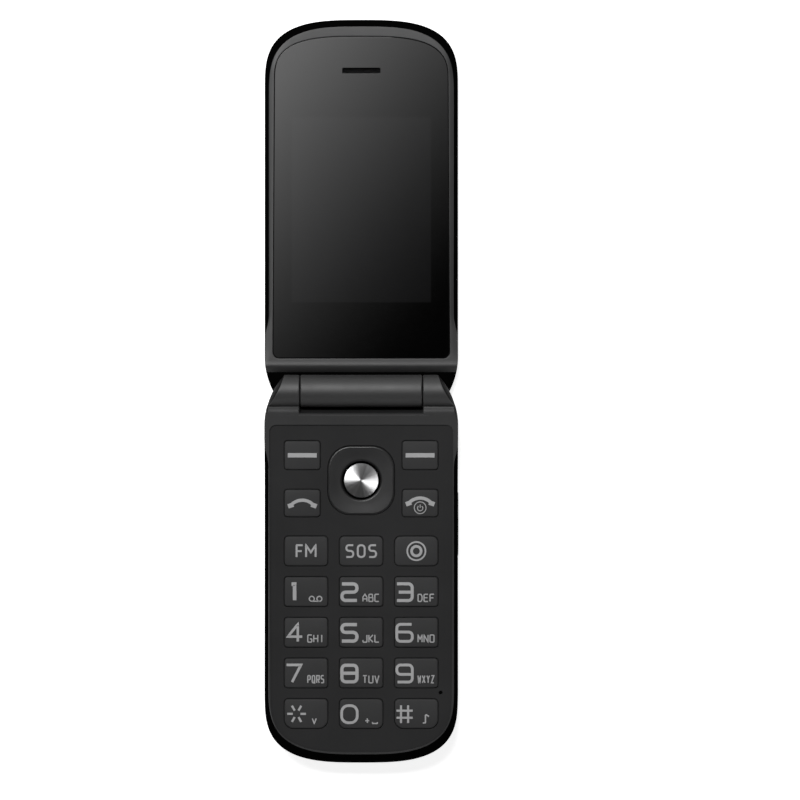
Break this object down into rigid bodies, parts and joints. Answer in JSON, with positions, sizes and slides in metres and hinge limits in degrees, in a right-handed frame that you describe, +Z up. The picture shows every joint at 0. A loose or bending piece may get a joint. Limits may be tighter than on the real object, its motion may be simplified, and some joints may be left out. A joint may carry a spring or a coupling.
{
  "type": "flip phone",
  "caption": "Clamshell mobile phone with a hinged display lid over a keypad base, pressing keys, a rocking navigation ring, a volume rocker and a sliding battery cover.",
  "frame": {"origin": "on the table, under the middle of the hinge axis", "axes": "+X across the phone to its right, +Y from the hinge to the lid's free end, +Z up from the table"},
  "size_m": [0.0511, 0.196, 0.0128],
  "materials": {
    "front_shell": "fine satin charcoal moulding",
    "side_band": "satin dark grey moulding",
    "rear_shell": "dark blue-grey gloss moulding",
    "key_cap": "satin black with light grey legends",
    "ring_shell": "semi-gloss black",
    "spun_metal": "spun concentric grain",
    "lens": "gloss smoked window",
    "display": "unlit display",
    "battery_wrap": "wrapped cell",
    "circuit_board": "green solder resist",
    "steel": "plain bright metal",
    "contact_gold": "gold-plated contact",
    "key_rubber": "moulded silicone",
    "socket_black": "black moulding",
    "flat_cable": "amber film"
  },
  "bodies": {
    "base": {"base_frame": "side_band", "keypad_fascia": "front_shell", "battery": "battery_wrap", "main_board": "circuit_board", "shield_can": "steel", "key_domes": "steel", "keypad_mat": "key_rubber", "side_switch": "circuit_board", "usb_socket": "steel", "headset_jack": "socket_black", "microphone": "contact_gold", "loudspeaker": "socket_black", "vibration_motor": "steel", "sim_socket": "steel", "battery_contacts": "contact_gold", "antenna": "socket_black", "base_screws": "steel", "hinge_shaft": "steel", "hinge_pin": "steel"},
    "lid": {"lid_cover": "rear_shell", "lid_frame": "front_shell", "display_lens": "lens", "display_panel": "display", "lid_board": "circuit_board", "receiver": "socket_black", "receiver_mesh": "steel", "camera_module": "socket_black", "camera_window": "lens", "lid_screws": "steel", "hinge_can": "steel", "hinge_spring": "steel", "hinge_flex": "flat_cable", "lid_magnet": "steel"},
    "battery_cover": {"battery_cover": "rear_shell"},
    "soft_key_left": {"soft_key_left": "key_cap"},
    "soft_key_right": {"soft_key_right": "key_cap"},
    "call_key": {"call_key": "key_cap"},
    "end_key": {"end_key": "key_cap"},
    "radio_key": {"radio_key": "key_cap"},
    "sos_key": {"sos_key": "key_cap"},
    "camera_key": {"camera_key": "key_cap"},
    "key_1": {"key_1": "key_cap"},
    "key_2": {"key_2": "key_cap"},
    "key_3": {"key_3": "key_cap"},
    "key_4": {"key_4": "key_cap"},
    "key_5": {"key_5": "key_cap"},
    "key_6": {"key_6": "key_cap"},
    "key_7": {"key_7": "key_cap"},
    "key_8": {"key_8": "key_cap"},
    "key_9": {"key_9": "key_cap"},
    "key_star": {"key_star": "key_cap"},
    "key_0": {"key_0": "key_cap"},
    "key_hash": {"key_hash": "key_cap"},
    "ok_key": {"ok_key": "spun_metal"},
    "nav_web": {"nav_web": "key_rubber"},
    "nav_ring": {"nav_ring": "ring_shell"},
    "volume_rocker": {"volume_rocker": "side_band"}
  },
  "joints": [
    {"name": "lid_hinge", "type": "hinge", "parent": "base", "child": "lid", "pos_m": [0, 0, 0.0086], "axis": [1, 0, 0], "range_deg": [0, 180]},
    {"name": "battery_cover_slide", "type": "slide", "parent": "base", "child": "battery_cover", "axis": [0, -1, 0], "range_m": [0, 0.01]},
    {"name": "soft_key_left_press", "type": "slide", "parent": "base", "child": "soft_key_left", "axis": [0, 0, -1], "range_m": [0, 0.0003], "stiffness_N_per_m": 300},
    {"name": "soft_key_right_press", "type": "slide", "parent": "base", "child": "soft_key_right", "axis": [0, 0, -1], "range_m": [0, 0.0003], "stiffness_N_per_m": 300},
    {"name": "call_key_press", "type": "slide", "parent": "base", "child": "call_key", "axis": [0, 0, -1], "range_m": [0, 0.0003], "stiffness_N_per_m": 300},
    {"name": "end_key_press", "type": "slide", "parent": "base", "child": "end_key", "axis": [0, 0, -1], "range_m": [0, 0.0003], "stiffness_N_per_m": 300},
    {"name": "radio_key_press", "type": "slide", "parent": "base", "child": "radio_key", "axis": [0, 0, -1], "range_m": [0, 0.0003], "stiffness_N_per_m": 300},
    {"name": "sos_key_press", "type": "slide", "parent": "base", "child": "sos_key", "axis": [0, 0, -1], "range_m": [0, 0.0003], "stiffness_N_per_m": 300},
    {"name": "camera_key_press", "type": "slide", "parent": "base", "child": "camera_key", "axis": [0, 0, -1], "range_m": [0, 0.0003], "stiffness_N_per_m": 300},
    {"name": "key_1_press", "type": "slide", "parent": "base", "child": "key_1", "axis": [0, 0, -1], "range_m": [0, 0.0003], "stiffness_N_per_m": 300},
    {"name": "key_2_press", "type": "slide", "parent": "base", "child": "key_2", "axis": [0, 0, -1], "range_m": [0, 0.0003], "stiffness_N_per_m": 300},
    {"name": "key_3_press", "type": "slide", "parent": "base", "child": "key_3", "axis": [0, 0, -1], "range_m": [0, 0.0003], "stiffness_N_per_m": 300},
    {"name": "key_4_press", "type": "slide", "parent": "base", "child": "key_4", "axis": [0, 0, -1], "range_m": [0, 0.0003], "stiffness_N_per_m": 300},
    {"name": "key_5_press", "type": "slide", "parent": "base", "child": "key_5", "axis": [0, 0, -1], "range_m": [0, 0.0003], "stiffness_N_per_m": 300},
    {"name": "key_6_press", "type": "slide", "parent": "base", "child": "key_6", "axis": [0, 0, -1], "range_m": [0, 0.0003], "stiffness_N_per_m": 300},
    {"name": "key_7_press", "type": "slide", "parent": "base", "child": "key_7", "axis": [0, 0, -1], "range_m": [0, 0.0003], "stiffness_N_per_m": 300},
    {"name": "key_8_press", "type": "slide", "parent": "base", "child": "key_8", "axis": [0, 0, -1], "range_m": [0, 0.0003], "stiffness_N_per_m": 300},
    {"name": "key_9_press", "type": "slide", "parent": "base", "child": "key_9", "axis": [0, 0, -1], "range_m": [0, 0.0003], "stiffness_N_per_m": 300},
    {"name": "key_star_press", "type": "slide", "parent": "base", "child": "key_star", "axis": [0, 0, -1], "range_m": [0, 0.0003], "stiffness_N_per_m": 300},
    {"name": "key_0_press", "type": "slide", "parent": "base", "child": "key_0", "axis": [0, 0, -1], "range_m": [0, 0.0003], "stiffness_N_per_m": 300},
    {"name": "key_hash_press", "type": "slide", "parent": "base", "child": "key_hash", "axis": [0, 0, -1], "range_m": [0, 0.0003], "stiffness_N_per_m": 300},
    {"name": "ok_key_press", "type": "slide", "parent": "base", "child": "ok_key", "axis": [0, 0, -1], "range_m": [0, 0.0003], "stiffness_N_per_m": 300},
    {"name": "nav_rock_up_down", "type": "hinge", "parent": "base", "child": "nav_web", "pos_m": [0, -0.0235, 0.0078], "axis": [1, 0, 0], "range_deg": [-1.5, 1.5], "stiffness_Nm_per_rad": 0.3},
    {"name": "nav_rock_left_right", "type": "hinge", "parent": "nav_web", "child": "nav_ring", "pos_m": [0, -0.0235, 0.0081], "axis": [0, 1, 0], "range_deg": [-1.5, 1.5], "stiffness_Nm_per_rad": 0.3},
    {"name": "volume_rocker_tilt", "type": "hinge", "parent": "base", "child": "volume_rocker", "pos_m": [0.0237, -0.035, 0.00665], "axis": [0, 0, 1], "range_deg": [-1.4, 1.4], "stiffness_Nm_per_rad": 0.3}
  ]
}
